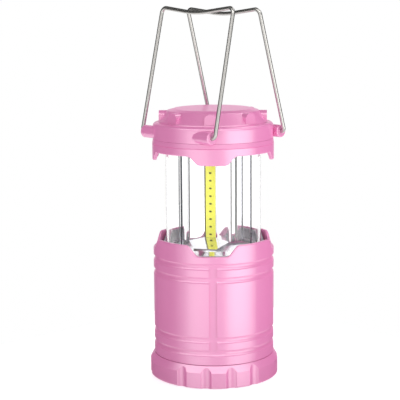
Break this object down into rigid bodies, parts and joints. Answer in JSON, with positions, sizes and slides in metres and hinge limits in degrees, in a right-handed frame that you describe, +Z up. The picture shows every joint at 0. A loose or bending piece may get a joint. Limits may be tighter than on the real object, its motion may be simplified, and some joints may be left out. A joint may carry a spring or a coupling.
{
  "type": "camping lantern",
  "caption": "Pull-up camping lantern: a round base with a twist-off cap, a clear tube with mirrors and light strips on a sliding head, and hinged wire handles.",
  "frame": {"origin": "middle of the base cap's underside", "axes": "+Z up along the lantern's axis; the wire handles hinge about lines along X, the front one at -Y"},
  "size_m": [0.0908, 0.0908, 0.259],
  "materials": {
    "shell_plastic": "satin",
    "inner_plastic": "matt",
    "clear_plastic": "clear",
    "mirror_plating": "bright plated",
    "handle_wire": "polished",
    "rail_steel": "brushed",
    "screw_steel": "zinc plated",
    "contact_metal": "bright",
    "lead_insulation": "satin",
    "cell_can": "wrapped",
    "board": "solder mask",
    "phosphor": "cast",
    "seal": "matt"
  },
  "bodies": {
    "base": {"body_shell": "shell_plastic", "inner_sleeve": "inner_plastic", "leaf_contacts": "contact_metal", "supply_leads": "lead_insulation", "battery_tray": "inner_plastic", "tray_screws": "screw_steel", "cells": "cell_can", "contact_sheets": "contact_metal", "coil_contacts": "contact_metal", "seal_ring": "seal"},
    "base_cap": {"base_cap": "shell_plastic"},
    "head": {"carriage": "inner_plastic", "contact_studs": "contact_metal", "contact_strips": "contact_metal", "column_leads": "lead_insulation", "clear_tube": "clear_plastic", "guide_rails": "rail_steel", "mirror_floor": "mirror_plating", "mirror_column": "mirror_plating", "light_board_1": "board", "light_board_2": "board", "light_board_3": "board", "light_strip_1": "phosphor", "light_strip_2": "phosphor", "light_strip_3": "phosphor", "mirror_ceiling": "mirror_plating", "driver_board": "board", "column_screws": "screw_steel", "ceiling_screws": "screw_steel", "skirt_ring": "shell_plastic", "head_screws": "screw_steel", "top_cap": "shell_plastic"},
    "front_handle": {"front_handle": "handle_wire"},
    "rear_handle": {"rear_handle": "handle_wire"}
  },
  "joints": [
    {"name": "cap_twist", "type": "hinge", "parent": "base", "child": "base_cap", "pos_m": [0, 0, 0], "axis": [0, 0, -1], "range_deg": [0, 40]},
    {"name": "head_slide", "type": "slide", "parent": "base", "child": "head", "axis": [0, 0, 1], "range_m": [-0.0602, 0]},
    {"name": "front_handle_hinge", "type": "hinge", "parent": "head", "child": "front_handle", "pos_m": [0, -0.03277, 0.1726], "axis": [1, 0, 0], "range_deg": [0, 183]},
    {"name": "rear_handle_hinge", "type": "hinge", "parent": "head", "child": "rear_handle", "pos_m": [0, 0.03277, 0.1726], "axis": [-1, 0, 0], "range_deg": [0, 186]}
  ]
}
